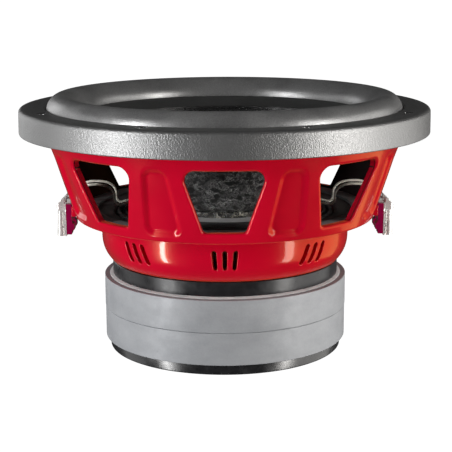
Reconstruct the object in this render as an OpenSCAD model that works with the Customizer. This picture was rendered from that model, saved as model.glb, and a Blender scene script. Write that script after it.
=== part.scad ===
// Twelve-inch car subwoofer with a cast basket, two stacked magnets and a double voice coil.
// Z rises from the underside of the back plate to the front of the driver. X runs through the terminals.

/* [Mounting] */
// Outer radius of the gasket ring
gasket_r = 158; // [156:0.5:160]
// Radius of the circle of mounting holes
bolt_circle_r = 145; // [144.5:0.25:145.5]
// Radius of each mounting hole
bolt_hole_r = 2.75; // [2.25:0.25:3]
// Height of the flange's seat on the baffle
flange_z = 169.7; // [169:0.1:170]

/* [Motor] */
// Radius of both magnets
magnet_r = 95; // [93:0.5:96]
// Height of one magnet
magnet_h = 24.6; // [24:0.1:25]
// Radius of the back plate
back_plate_r = 91.2; // [88:0.2:93]
// Thickness of the back plate
back_plate_h = 8.3; // [8:0.1:9]
// Radius of the top plate
top_plate_r = 88.4; // [87:0.2:89]
// Thickness of the top plate
top_plate_h = 12; // [11.5:0.1:12]
// Radius of the vent through the pole
vent_r = 12.5; // [8:0.5:16]

/* [Moving assembly] */
// Inner radius of the coil former
coil_r = 38; // [37.8:0.1:38.2]
// Height of the winding
winding_h = 32; // [24:1:34]
// Radius at the crest of the surround
roll_r = 126.4; // [126:0.1:127]
// Height of the surround's crest
roll_z = 198.6; // [197:0.1:200]
// Radius of the dust cap
dust_cap_r = 72; // [64:1:78]

/* [Basket] */
// Number of windows, and of arms between them
arms = 8; // [8:8:8]
// Thickness of the cast wall
wall = 5; // [4.5:0.1:5.5]
// Depth of the panel pressed into each arm
panel_depth = 2.8; // [1:0.1:3]
// Width of a cooling slot
slot_w = 3.6; // [3:0.1:4]

/* [Terminals] */
// Distance from the driver's middle plane to each post
post_y = 8; // [7.5:0.25:9]
// Radius of the wire hole
wire_hole_r = 1.5; // [1:0.1:1.6]

/* [Hidden] */
round_n = 180;
small_n = 48;
step_angle = 360 / arms;

// Heights of the stack
magnet_mid_z = back_plate_h + magnet_h;
magnet_top_z = magnet_mid_z + magnet_h;
top_plate_z = magnet_top_z + top_plate_h;

// Motor bores
magnet_hole_r = 48;
pole_r = 37.2;
gap_r = 41;
former_t = 0.3;
winding_t = 0.9;
seal_r = 91.6;
seal_z = magnet_top_z + 1.3;

// Basket levels and radii
neck_r = 96.5;
neck_inner_r = 87.5;
floor_hole_r = 46;
floor_z = top_plate_z + 6.5;
shelf_z = 103.8;
shelf_top_z = 107.5;
shelf_r = 116.1;
sill_z = 112;
flange_inner_r = 138;
flange_r = 154;
flange_h = 6;
ledge_z = 183.5;
ledge_inner_r = 130;
ledge_r = 148;
window_top_z = 158.4;
window_bottom_angle = 7.6;
window_top_angle = 13.9;
panel_bottom_z = 110.5;
panel_top_z = 157.5;
panel_bottom_angle = 5.9;
panel_top_angle = 3.3;
slot_bottom_z = 80;
slot_top_z = 94.7;
slot_pitch_angle = 4.9;
slot_lean = 24;
slot_shift = 2.6;
window_shift = 1.5;
panel_space_r = 150;
panel_space_z = [104, 168];
floor_screw_r = 66;

// Gasket
gasket_z = 189;
gasket_inner_r = 137.5;

// Cone
neck_z = 113;
cone_neck_r = 45.6;
cone_break_r = 94.8;
cone_break_z = 173;
cone_rim_r = 108.5;
cone_rim_z = 180;
cone_t = 1.6;
roll_t = 1.8;
skirt_lift = (cone_t + roll_t) / 2 + 0.08;
roll_outer_w = 10.2;
roll_inner_w = 16.2;
roll_foot_z = 185.3;
roll_inner_foot_z = 183;
cap_foot_z = 148.8;
cap_rise = 18;

// Suspension at the neck
spider_z = 106.5;
spider_wave = 2;
spider_waves = 8;
spider_inner_r = 46.02;
spider_outer_r = 86.4;
landing_r = 111;
coupler_r = 46;

// Terminals, seen at the +X side
pad_r = 118.9;
pad_w = 32;
pad_inner_r = 111.6;
tab_w = 24;
block_w = 30;
block_screw_z = 108;
block_screw_rows = [-13, 0, 13];
block_screw_r = 1.25;
stud_r = 1.5;
stud_z = 104.5;
screw_tip_r = 113;
block_r = 123.3;
post_bottom_z = 87.6;
block_bottom_z = 89;
leg_top_z = 101;
leg_gaps = [[-16, -12.6], [-3.4, 3.4], [12.6, 16]];
strip_r = 123.5;
strip_t = 0.8;
post_r = 127.9;
post_w = 8.4;
barrel_top_z = 108.2;
barrel_step_z = 103;
barrel_floor_z = 97.4;
wire_hole_z = 95.3;
wire_hole_x = 125.9;
cap_bottom_z = 108;
cap_top_z = 118;
cap_cavity_r = 2.8;
cap_roof_z = 110.9;
hood_inner_r = 124.5;
hood_outer_r = 131.6;
hood_low_z = 111;
hood_w = 7.6;
bore_r = 1.9;
stem_r = 1;
stem_tip_z = 100.4;
spring_r = 1.7;
spring_gap = 0.2;
nut_x = 120.9;
lug_z = 113.6;
lug_t = 0.8;
lug_w = 6;
lug_tip_z = 126;
lug_x = 114;
lead_r = 1.1;

// Route of one lead at the +X side, as radius, distance from the middle plane and height
LEAD = [[112.8, 8, 121.6], [112.3, 8, 124.2], [110.2, 8, 126.3], [106.4, 8, 127.5], [101.6, 7.9, 127.8],
        [96.4, 7.8, 127.5], [91.4, 7.7, 126.2], [87.6, 7.6, 123.4], [85.8, 7.5, 119.6], [85.7, 7.4, 115.6],
        [84.6, 7.3, 112.4], [82, 7.2, 111.1], [79, 7.1, 111.8], [76, 7, 112.5], [73, 6.8, 111.6],
        [69, 6.6, 110.8], [63, 6.4, 110.8], [57.5, 6.1, 110.9], [53, 5.8, 111.3], [49.4, 5.6, 111.9]];

SIDES = [["left", 180], ["right", 0]];
ROWS = [["front", -1], ["rear", 1]];

// ---- Outlines ----

function unit(v) = v / norm(v);

// Points of an arc round c
function arc(c, r, from, to, n = 8) =
    [for (i = [0:n]) let(a = from + (to - from) * i / n) c + r * [cos(a), sin(a)]];

// One corner of an outline, rounded to radius r
function corner(before, at, after, r, n) =
    let(a = unit(before - at), b = unit(after - at), half = acos(a * b) / 2,
        c = at + unit(a + b) * r / sin(half), s = at + a * r / tan(half) - c,
        e = at + b * r / tan(half) - c, turn = atan2(s.x * e.y - s.y * e.x, s * e))
    [for (k = [0:n]) let(w = turn * k / n) c + [s.x * cos(w) - s.y * sin(w), s.x * sin(w) + s.y * cos(w)]];

// An outline whose corners have the radii in r; a radius of 0 leaves a sharp corner
function rounded(p, r, n = 5) =
    [for (i = [0:len(p) - 1])
        let(last = len(p) - 1, before = p[i == 0 ? last : i - 1], after = p[i == last ? 0 : i + 1])
        each r[i] == 0 ? [p[i]] : corner(before, p[i], after, r[i], n)];

// Both sides of a curved sheet of thickness t whose middle line is p
function sheet(p, t) =
    let(last = len(p) - 1,
        side = [for (i = [0:last])
            let(d = unit(p[min(i + 1, last)] - p[max(i - 1, 0)])) [-d.y, d.x] * t / 2])
    concat([for (i = [0:last]) p[i] + side[i]], [for (i = [last:-1:0]) p[i] - side[i]]);

// ---- Helpers ----

module turned(points) {
    rotate_extrude($fn = round_n) polygon(points);
}

// A flat outline pushed out along the radius at an angle; its y is height
module radial(angle, from, to) {
    rotate([0, 0, angle]) translate([from, 0, 0]) rotate([90, 0, 90]) linear_extrude(to - from) children();
}

module ring(inner_r, outer_r, from_z, to_z, edge = 0.3) {
    turned(rounded([[inner_r, from_z], [outer_r, from_z], [outer_r, to_z], [inner_r, to_z]],
        [0, edge, edge, 0], 3));
}

module round_holes(count, circle_r, hole_r, from_z, to_z, start = 0) {
    for (i = [0:count - 1]) {
        rotate([0, 0, start + i * 360 / count]) translate([circle_r, 0, from_z])
            cylinder(h = to_z - from_z, r = hole_r, $fn = small_n);
    }
}

// Puts a part drawn at the +X side at a terminal; row is -1 for the front post and 1 for the rear one
module at_terminal(angle, row) {
    turned_row = angle == 0 ? row : -row;
    rotate([0, 0, angle]) translate([0, turned_row * post_y, 0]) children();
}

// ---- Basket ----

// Half the width of an opening that spans an angle either side, on the outer cone at height z
function half_width(angle, z) = outer_r(z) * sin(angle);
function outer_r(z) = shelf_r + (flange_inner_r - shelf_r) * (z - shelf_z) / (flange_z - shelf_z);

// Radius of the neck, which curves in towards the top plate
function neck_radius(z) = neck_r - 0.0014 * pow(max(0, 92 - z), 2.8);

basket_outline = concat(
    [[floor_hole_r, top_plate_z], [86.4, top_plate_z]],
    [for (z = [70.6, 72.5, 75, 78, 81, 84.5, 88, 92]) [neck_radius(z), z]],
    [[neck_r, shelf_z], [shelf_r, shelf_z], [flange_inner_r, flange_z],
     [flange_r, flange_z], [flange_r, flange_z + flange_h], [ledge_r, flange_z + flange_h],
     [ledge_r, ledge_z], [ledge_inner_r, ledge_z], [ledge_inner_r, 172],
     [outer_r(168) - wall, 168], [outer_r(shelf_top_z) - wall, shelf_top_z], [neck_inner_r + 2, shelf_top_z],
     [neck_inner_r + 2, 101], [neck_inner_r, 98], [neck_inner_r, floor_z + 2], [neck_inner_r - 2, floor_z],
     [floor_hole_r, floor_z]]);

window_outline = rounded(
    [[-half_width(window_bottom_angle, sill_z), sill_z], [half_width(window_bottom_angle, sill_z), sill_z],
     [half_width(window_top_angle, window_top_z), window_top_z],
     [-half_width(window_top_angle, window_top_z), window_top_z]], [3, 3, 8, 8]);

panel_outline = rounded(
    [[-half_width(panel_bottom_angle, panel_bottom_z), panel_bottom_z],
     [half_width(panel_bottom_angle, panel_bottom_z), panel_bottom_z],
     [half_width(panel_top_angle, panel_top_z), panel_top_z],
     [-half_width(panel_top_angle, panel_top_z), panel_top_z]], [4, 4, 3, 3]);

// Angle of a window, arm or group of slots. The terminals push their neighbours towards the front and the back.
function shifted(angle, shift) = angle + shift * sin(2 * angle);

module window_cuts() {
    for (i = [0:arms - 1]) {
        radial(shifted(i * step_angle, window_shift), neck_r, ledge_r) polygon(window_outline);
    }
}

module panel_cuts() {
    intersection() {
        for (i = [0:arms - 1]) {
            radial(shifted((i + 0.5) * step_angle, window_shift), neck_r, ledge_r) polygon(panel_outline);
        }
        turned([for (z = panel_space_z) [outer_r(z) - panel_depth, z],
                for (z = [panel_space_z[1], panel_space_z[0]]) [panel_space_r, z]]);
    }
}

// The slots beside the windows that are shifted lean over
module slot_cuts() {
    half_h = (slot_top_z - slot_bottom_z - slot_w) / 2;
    for (i = [0:arms - 1]) {
        for (k = [-1:1]) {
            radial(shifted(i * step_angle, slot_shift) + k * slot_pitch_angle, neck_inner_r - 4, neck_r + 4)
                translate([0, (slot_top_z + slot_bottom_z) / 2]) rotate(slot_lean * sin(2 * i * step_angle))
                    polygon(concat(
                        arc([0, half_h], slot_w / 2, 0, 180),
                        arc([0, -half_h], slot_w / 2, 180, 360)));
        }
    }
}

// Flat pad on the sill where a terminal block is screwed down
module terminal_pad(angle) {
    rotate([0, 0, angle]) translate([pad_inner_r, -pad_w / 2, shelf_z])
        cube([pad_r - pad_inner_r, pad_w, sill_z - shelf_z]);
}

module basket() {
    color("crimson") difference() {
        union() {
            turned(basket_outline);
            for (side = SIDES) {
                terminal_pad(side[1]);
            }
        }
        window_cuts();
        panel_cuts();
        slot_cuts();
        round_holes(arms, bolt_circle_r, bolt_hole_r, flange_z - 1, ledge_z + 1, step_angle / 2);
        round_holes(arms, floor_screw_r, 2.6, top_plate_z - 1, floor_z + 1, step_angle / 2);
        for (side = SIDES) {
            rotate([0, 0, side[1]]) for (y = block_screw_rows) {
                translate([pad_inner_r + 0.4, y, block_screw_z]) rotate([0, 90, 0])
                    cylinder(h = 10, r = block_screw_r, $fn = small_n);
            }
        }
    }
}

module basket_screws() {
    color("dimgray") round_holes(arms, floor_screw_r, 2.5, top_plate_z - 8, floor_z, step_angle / 2);
    color("dimgray") difference() {
        round_holes(arms, floor_screw_r, 4.2, floor_z, floor_z + 4.5, step_angle / 2);
        round_holes(arms, floor_screw_r, 2.2, floor_z + 2, floor_z + 5, step_angle / 2);
    }
}

// ---- Gasket and suspension ----

module gasket() {
    landing_z = ledge_z + roll_t + 0.02;
    color("gray") difference() {
        turned(concat(
            [[gasket_inner_r, landing_z], [141, landing_z], [141, ledge_z], [ledge_r, ledge_z],
             [ledge_r, flange_z + flange_h], [flange_r, flange_z + flange_h], [flange_r, flange_z],
             [gasket_r, flange_z]],
            arc([gasket_r - 3, gasket_z - 3], 3, 0, 90),
            arc([gasket_inner_r + 1.2, gasket_z - 1.2], 1.2, 90, 180)));
        round_holes(arms, bolt_circle_r, bolt_hole_r + 0.35, ledge_z - 1, gasket_z + 1, step_angle / 2);
    }
}

// The skirt lies on the cone's shallow rim
skirt_line = [for (s = [0.2, 0.55, 0.9])
    [cone_break_r, cone_break_z] + s * [cone_rim_r - cone_break_r, cone_rim_z - cone_break_z]
    + skirt_lift * unit([cone_break_z - cone_rim_z, cone_rim_r - cone_break_r])];

// Middle line of the surround: skirt, roll, and the landing under the gasket
surround_line = concat(
    skirt_line,
    [for (i = [0:20]) let(a = 180 - i * 9, w = a > 90 ? roll_inner_w : roll_outer_w,
                          foot = a > 90 ? roll_inner_foot_z : roll_foot_z)
        [roll_r - 0.5 + w * cos(a), foot + (roll_z - foot - roll_t / 2) * sin(a)]],
    [[137, ledge_z + roll_t / 2], [140.8, ledge_z + roll_t / 2]]);

module surround() {
    color("darkslategray") turned(sheet(surround_line, roll_t));
}

spider_line = concat(
    [[spider_inner_r, spider_z]],
    [for (i = [0:spider_waves * 8]) let(s = i / (spider_waves * 8))
        [spider_inner_r + 1 + (spider_outer_r - spider_inner_r - 1) * s,
         spider_z + spider_wave * sin(s * 360 * spider_waves)]],
    [[spider_outer_r + 2.2, shelf_top_z + 0.6], [landing_r, shelf_top_z + 0.6]]);

module spider() {
    color("dimgray") turned(sheet(spider_line, 1));
}

module spider_ring() {
    color("gray") ring(99, landing_r - 0.5, shelf_top_z + 1.15, shelf_top_z + 3.1);
}

// ---- Motor ----

module top_plate() {
    color("black") difference() {
        ring(gap_r, top_plate_r, magnet_top_z, top_plate_z, 0.5);
        round_holes(arms, floor_screw_r, 2.55, top_plate_z - 8.05, top_plate_z + 1, step_angle / 2);
    }
}

// Bead of sealant where the top plate meets the upper magnet
module sealant_ring() {
    color("white") turned([[top_plate_r, magnet_top_z], [seal_r, magnet_top_z],
        [(top_plate_r + seal_r) / 2 - 0.3, magnet_top_z + 0.5], [top_plate_r, seal_z]]);
}

module magnet_upper() {
    color("silver") ring(magnet_hole_r, magnet_r, magnet_mid_z, magnet_top_z);
}

module magnet_lower() {
    color("silver") ring(magnet_hole_r, magnet_r, back_plate_h, magnet_mid_z);
}

module back_plate() {
    color("black") ring(30, back_plate_r, 0, back_plate_h, 0.8);
}

module pole_piece() {
    color("dimgray") turned(concat(
        [[vent_r + 4, 0], [30, 0], [30, back_plate_h], [44, back_plate_h], [44, 13], [pole_r, 20]],
        [[pole_r, top_plate_z + 1], [pole_r - 2, top_plate_z + 3], [vent_r + 4, top_plate_z + 3],
         [vent_r, top_plate_z - 6], [vent_r, 8]]));
}

module shorting_ring() {
    color("silver") ring(43.5, magnet_hole_r, 40, magnet_top_z);
}

// ---- Moving assembly ----

cone_line = concat(
    [for (i = [0:10]) let(s = i / 10)
        [cone_neck_r + (cone_break_r - cone_neck_r) * s,
         neck_z + 1 + (cone_break_z - neck_z - 1) * (1.12 * s - 0.12 * s * s)]],
    [[cone_rim_r, cone_rim_z]]);

module cone() {
    color("black") turned(sheet(cone_line, cone_t));
}

module dust_cap() {
    rise_r = (dust_cap_r * dust_cap_r + cap_rise * cap_rise) / (2 * cap_rise);
    half = asin(dust_cap_r / rise_r);
    top = cap_foot_z + cap_rise;
    color("black") turned(concat(
        arc([0, top - rise_r], rise_r, 90 - half, 90, 12),
        arc([0, top - rise_r], rise_r - 1.2, 90, 90 - half + 0.4, 12)));
}

module coil_former() {
    color("goldenrod") ring(coil_r, coil_r + former_t, 42, 116, 0);
}

module winding_inner() {
    mid_z = (magnet_top_z + top_plate_z) / 2;
    color("sienna") ring(coil_r + former_t, coil_r + former_t + winding_t, mid_z - winding_h / 2,
        mid_z + winding_h / 2, 0);
}

module winding_outer() {
    mid_z = (magnet_top_z + top_plate_z) / 2;
    color("peru") ring(coil_r + former_t + winding_t, coil_r + former_t + 2 * winding_t, mid_z - winding_h / 2,
        mid_z + winding_h / 2, 0);
}

// Moulded collar that joins former, spider and cone
module neck_coupler() {
    inner = coil_r + former_t;
    color("gray") turned([[inner, 105], [coupler_r, 105], [coupler_r, 109.9], [47.6, 110.3],
        [47.6, neck_z], [44.5, neck_z], [43.6, 115.4], [inner, 115.4]]);
}

// ---- Terminals ----

// Side view of the plastic block, as radius and height
block_outline = rounded(
    [[pad_r, lug_z], [block_r, lug_z], [block_r, block_bottom_z], [119.1, block_bottom_z],
     [119.1, 92.2], [117.4, 92.6], [117.4, 97.4], [pad_r, 97.8]],
    [0, 0.5, 0.8, 0.8, 0.3, 0.5, 0.5, 0.3], 4);

// A bridge across the pad, with a leg down behind each post
module block_body(angle) {
    color("maroon") rotate([0, 0, angle]) difference() {
        union() {
            translate([0, block_w / 2, 0]) rotate([90, 0, 0]) linear_extrude(block_w) polygon(block_outline);
            translate([pad_inner_r + 1, -tab_w / 2, sill_z]) cube([pad_r - pad_inner_r, tab_w, lug_z - sill_z]);
        }
        for (gap = leg_gaps) {
            translate([pad_r - 2, gap[0], block_bottom_z - 1])
                cube([block_r - pad_r + 3, gap[1] - gap[0], leg_top_z - block_bottom_z + 1]);
        }
        for (y = block_screw_rows) {
            translate([pad_r - 1, y, block_screw_z]) rotate([0, 90, 0])
                cylinder(h = 10, r = block_screw_r + 0.1, $fn = small_n);
        }
        for (y = [-post_y, post_y]) {
            translate([nut_x, y, stud_z - 0.5]) cylinder(h = 12, r = stud_r, $fn = small_n);
        }
    }
}

module block_left() {
    block_body(180);
}

module block_right() {
    block_body(0);
}

// Screws that hold each block against its pad
module block_screws() {
    color("silver") for (side = SIDES) {
        rotate([0, 0, side[1]]) for (y = block_screw_rows) {
            translate([screw_tip_r, y, block_screw_z]) rotate([0, 90, 0])
                cylinder(h = block_r - screw_tip_r, r = block_screw_r, $fn = small_n);
            translate([block_r, y, block_screw_z]) rotate([0, 90, 0])
                cylinder(h = 1, r1 = 2.3, r2 = 1.7, $fn = small_n);
        }
    }
}

// Nuts on studs that clamp the lugs to the blocks
module terminal_nuts() {
    color("silver") for (side = SIDES) {
        for (row = [-1, 1]) {
            at_terminal(side[1], row) {
                translate([nut_x, 0, stud_z]) cylinder(h = 12.5, r = stud_r, $fn = small_n);
                translate([nut_x, 0, lug_z + lug_t]) cylinder(h = 2.4, r = 3, $fn = 6);
            }
        }
    }
}

// Nickel post: a flat strip against the block, and a barrel that guides the push cap
module post(angle, row) {
    color("silver") at_terminal(angle, row) difference() {
        union() {
            translate([strip_r, -post_w / 2, post_bottom_z]) cube([strip_t, post_w, lug_z - post_bottom_z]);
            translate([strip_r, -1.6, post_bottom_z + 0.5]) cube([post_r - strip_r, 3.2, 16]);
            translate([post_r, 0, post_bottom_z])
                cylinder(h = barrel_step_z - post_bottom_z, r1 = 3.3, r2 = 2.6, $fn = small_n);
            translate([post_r, 0, barrel_step_z])
                cylinder(h = barrel_top_z - barrel_step_z, r = 2.55, $fn = small_n);
        }
        translate([post_r, 0, barrel_floor_z]) cylinder(h = 20, r = bore_r, $fn = small_n);
        translate([wire_hole_x, -6, wire_hole_z]) rotate([-90, 0, 0])
            cylinder(h = 12, r = wire_hole_r, $fn = small_n);
        for (y = [-5.2, 5.2]) {
            translate([strip_r - 1, y, block_screw_z]) rotate([0, 90, 0]) cylinder(h = 3, r = 2.5, $fn = small_n);
        }
    }
}

// Strap under the nut that turns up to a soldering tip for the lead
module lug(angle, row) {
    color("silver") at_terminal(angle, row) difference() {
        union() {
            translate([lug_x, -lug_w / 2, lug_z]) cube([strip_r + strip_t - lug_x, lug_w, lug_t]);
            translate([lug_x, -lug_w / 2, lug_z]) cube([lug_t, lug_w, lug_tip_z - lug_z]);
        }
        translate([nut_x, 0, lug_z - 1]) cylinder(h = 3, r = 1.6, $fn = small_n);
    }
}

hood_plan = rounded(
    [[hood_inner_r, -hood_w / 2], [hood_outer_r, -hood_w / 2], [hood_outer_r, hood_w / 2],
     [hood_inner_r, hood_w / 2]], [0.8, 2.6, 2.6, 0.8], 6);
hood_side = [[hood_inner_r - 1, cap_bottom_z], [hood_outer_r, cap_bottom_z], [hood_outer_r, hood_low_z],
             [hood_inner_r, cap_top_z], [hood_inner_r - 1, cap_top_z]];

// Push cap: a hood with a sloping roof that presses down over the barrel against its spring
module push_cap(angle, row) {
    color("silver") at_terminal(angle, row) union() {
        difference() {
            intersection() {
                translate([0, 0, cap_bottom_z]) linear_extrude(cap_top_z - cap_bottom_z) polygon(hood_plan);
                translate([0, hood_w, 0]) rotate([90, 0, 0]) linear_extrude(2 * hood_w) polygon(hood_side);
            }
            translate([post_r, 0, cap_bottom_z - 1])
                cylinder(h = cap_roof_z - cap_bottom_z + 1, r = cap_cavity_r, $fn = small_n);
        }
        translate([post_r, 0, stem_tip_z]) cylinder(h = cap_roof_z - stem_tip_z + 0.2, r = stem_r, $fn = small_n);
    }
}

// Space of the coil spring round the stem, between the barrel's floor and the cap's roof
module cap_spring(angle, row) {
    color("lightgray") at_terminal(angle, row) translate([post_r, 0, barrel_floor_z + spring_gap]) difference() {
        cylinder(h = cap_roof_z - barrel_floor_z - 2 * spring_gap, r = spring_r, $fn = small_n);
        translate([0, 0, -1]) cylinder(h = 24, r = 1.25, $fn = small_n);
    }
}

// ---- Leads ----

function lead_route(row) = [for (p = LEAD) [p.x, row * (p.y - post_y), p.z]];

// Tube of radius r along a route, with 8 sides and flat ends
module tube(route, r) {
    sides = 8;
    last = len(route) - 1;
    rings = [for (i = [0:last])
        let(d = unit(route[min(i + 1, last)] - route[max(i - 1, 0)]), u = unit(cross(d, [0, 1, 0])), v = cross(d, u))
        each [for (k = [0:sides - 1]) let(a = k * 360 / sides) route[i] + r * (u * cos(a) + v * sin(a))]];
    walls = [for (i = [0:last - 1]) for (k = [0:sides - 1])
        let(a = i * sides + k, b = i * sides + (k + 1) % sides)
        each [[a, a + sides, b], [b, a + sides, b + sides]]];
    polyhedron(points = rings, faces = concat(
        [[for (k = [0:sides - 1]) k]], walls, [[for (k = [sides - 1:-1:0]) last * sides + k]]));
}

module lead(angle, row) {
    color("wheat") at_terminal(angle, row) tube(lead_route(angle == 0 ? row : -row), lead_r);
}

// Eyelets on the collar where the leads meet the coil's wires
module lead_anchors() {
    color("gold") for (side = SIDES) {
        rotate([0, 0, side[1]]) for (row = [-1, 1]) {
            translate([47.6, row * 5.6, 111.9]) rotate([0, 90, 0]) difference() {
                cylinder(h = 1.5, r = 1.9, $fn = small_n);
                translate([0, 0, 0.5]) cylinder(h = 2, r = 0.8, $fn = small_n);
            }
        }
    }
}

// ---- Assembly ----

basket();
gasket();
surround();
spider();
spider_ring();
top_plate();
sealant_ring();
magnet_upper();
magnet_lower();
back_plate();
pole_piece();
shorting_ring();
basket_screws();
cone();
dust_cap();
coil_former();
winding_inner();
winding_outer();
neck_coupler();
lead_anchors();
block_left();
block_right();
block_screws();
terminal_nuts();
for (side = SIDES) {
    for (row = ROWS) {
        name = str(side[0], "_", row[0]);
        post(side[1], row[1]);
        lug(side[1], row[1]);
        push_cap(side[1], row[1]);
        cap_spring(side[1], row[1]);
        lead(side[1], row[1]);
    }
}
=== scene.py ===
"""Finished look of a twelve-inch car subwoofer driver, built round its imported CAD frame.

Lengths are in millimetres until a mesh is made, except in the studio, which is in metres. Each piece keeps the
frame's axes: Z up the driver's axis, with the terminals on X."""

import math

import bmesh
import bpy
import numpy as np
from mathutils import Matrix, Vector


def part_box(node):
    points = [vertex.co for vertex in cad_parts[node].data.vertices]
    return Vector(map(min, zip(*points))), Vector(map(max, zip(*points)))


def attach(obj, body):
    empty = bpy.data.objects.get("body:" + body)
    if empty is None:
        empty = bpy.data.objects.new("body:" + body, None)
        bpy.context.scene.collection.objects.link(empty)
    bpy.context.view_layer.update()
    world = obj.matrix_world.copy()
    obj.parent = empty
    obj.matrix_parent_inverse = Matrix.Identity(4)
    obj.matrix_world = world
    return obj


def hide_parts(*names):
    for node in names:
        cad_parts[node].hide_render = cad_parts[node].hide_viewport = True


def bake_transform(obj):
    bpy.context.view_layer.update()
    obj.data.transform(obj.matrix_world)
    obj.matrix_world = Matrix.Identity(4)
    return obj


MM = 0.001
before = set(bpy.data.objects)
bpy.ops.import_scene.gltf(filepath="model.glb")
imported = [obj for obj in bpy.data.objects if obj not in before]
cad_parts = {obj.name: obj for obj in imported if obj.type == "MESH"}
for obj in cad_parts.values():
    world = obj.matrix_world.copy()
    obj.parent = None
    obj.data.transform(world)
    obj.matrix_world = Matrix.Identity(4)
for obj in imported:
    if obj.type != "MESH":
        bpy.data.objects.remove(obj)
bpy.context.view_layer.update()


def span(node):
    """(outer radius, lowest, highest) of a round CAD node."""
    low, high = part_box(node)
    return high.x / MM, low.z / MM, high.z / MM


# ---- Sizes ----

GASKET_R, FLANGE_Z, GASKET_TOP = span("gasket")
BASKET_R, BASKET_LOW, LEDGE_Z = span("basket")
MAGNET_R, MAGNET_MID, MAGNET_TOP = span("magnet_upper")
PLATE_R, PLATE_LOW, PLATE_TOP = span("top_plate")
BACK_R, BACK_LOW, BACK_TOP = span("back_plate")
POLE_LOW, POLE_TOP = span("pole_piece")[1:]
ROLL_TOP = span("surround")[2]
SEAL_R, SEAL_LOW, SEAL_TOP = span("sealant_ring")
RING_R, RING_LOW, RING_TOP = span("spider_ring")
DUST_R, DUST_LOW, DUST_TOP = span("dust_cap")

# The basket has eight equal sectors, each with an arm, a window, a group of slots and a screw hole
ARMS = 8
STEP = 360 / ARMS
BOLT_CIRCLE = 145
BOLT_R, MOUTH_R = 2.75, 2.9
WALL = 5
SHELF_Z, SHELF_TOP, SHELF_R = 103.8, 107.5, 116.1
WALL_LOW, WALL_HIGH, INNER_LOW = 105.6, 166.0, 109.6
SILL_Z, WINDOW_TOP = 112, 158.4
FLANGE_INNER = 138
RIM_TOP = FLANGE_Z + 6
SEAT_R, SEAT_INNER = 148, 130
NECK_R, NECK_INNER, NECK_FOOT = 96.5, 87.5, 70.9
NECK_BEND, NECK_CURVE = 92, 0.0014
FLOOR_Z, FLOOR_HOLE = 76, 46
SLOT_W, SLOT_LOW, SLOT_TOP, SLOT_PITCH = 3.6, 80, 94.7, 4.9
SLOTS_LOW, SLOTS_TOP = 77.6, 97.0
PANEL_LOW, PANEL_TOP, PANEL_DEPTH = 110.5, 157.5, 2.8
PANEL_ROUND, PANEL_SLOPE = 6, 5
PAD_LOW, PAD_HIGH = (111.9, -16, SHELF_Z + 0.05), (118.85, 16, SILL_Z - 0.02)
MAGNET_HOLE, VENT_R = 48, 12.5

# The rings, inner and outer radius, that hold the screw holes on the flange's underside and on the ledge
RIM_RING, LEDGE_RING = (139.6, 150.4), (140.4, 147.9)


# ---- Mesh kit ----


def rounded(corners, radii, steps=6):
    """An outline whose corners are turned into arcs of the given radii; 0 leaves a corner sharp."""
    p = [np.array(c, float) for c in corners]
    out = []
    for i, at in enumerate(p):
        r = radii[i]
        if r == 0:
            out.append(at)
            continue
        a = p[i - 1] - at
        b = p[(i + 1) % len(p)] - at
        a, b = a / np.linalg.norm(a), b / np.linalg.norm(b)
        half = math.acos(np.clip(a @ b, -1, 1)) / 2
        middle = (a + b) / np.linalg.norm(a + b)
        centre = at + middle * r / math.sin(half)
        start = at + a * r / math.tan(half) - centre
        end = at + b * r / math.tan(half) - centre
        turn = math.atan2(start[0] * end[1] - start[1] * end[0], start @ end)
        for w in np.linspace(0, turn, steps + 1):
            c, s = math.cos(w), math.sin(w)
            out.append(centre + [start[0] * c - start[1] * s, start[0] * s + start[1] * c])
    return np.array(out)


def along(points, fractions):
    """Points at the given fractions of a polyline's length."""
    points = np.asarray(points, float)
    far = np.concatenate([[0], np.cumsum(np.linalg.norm(np.diff(points, axis=0), axis=1))])
    at = np.asarray(fractions) * far[-1]
    return np.stack([np.interp(at, far, column) for column in points.T], 1)


def finer(outline, step):
    """A closed outline with no edge longer than step."""
    out = []
    for i, at in enumerate(outline):
        to = outline[(i + 1) % len(outline)]
        parts = max(1, math.ceil(np.linalg.norm(to - at) / step))
        out += [at + (to - at) * k / parts for k in range(parts)]
    return np.array(out)


def sheet(line, thickness):
    """The closed outline of a curved sheet whose middle line is given."""
    line = np.asarray(line, float)
    d = np.gradient(line, axis=0)
    d /= np.linalg.norm(d, axis=1)[:, None]
    side = np.stack([-d[:, 1], d[:, 0]], 1) * thickness / 2
    return np.concatenate([line + side, (line - side)[::-1]])


def spin(points, degrees):
    """Points turned about Z."""
    a = math.radians(degrees)
    c, s = math.cos(a), math.sin(a)
    points = np.asarray(points, float)
    out = points.copy()
    out[..., 0] = points[..., 0] * c - points[..., 1] * s
    out[..., 1] = points[..., 0] * s + points[..., 1] * c
    return out


JOIN = 0.004
FULL = 288


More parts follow.
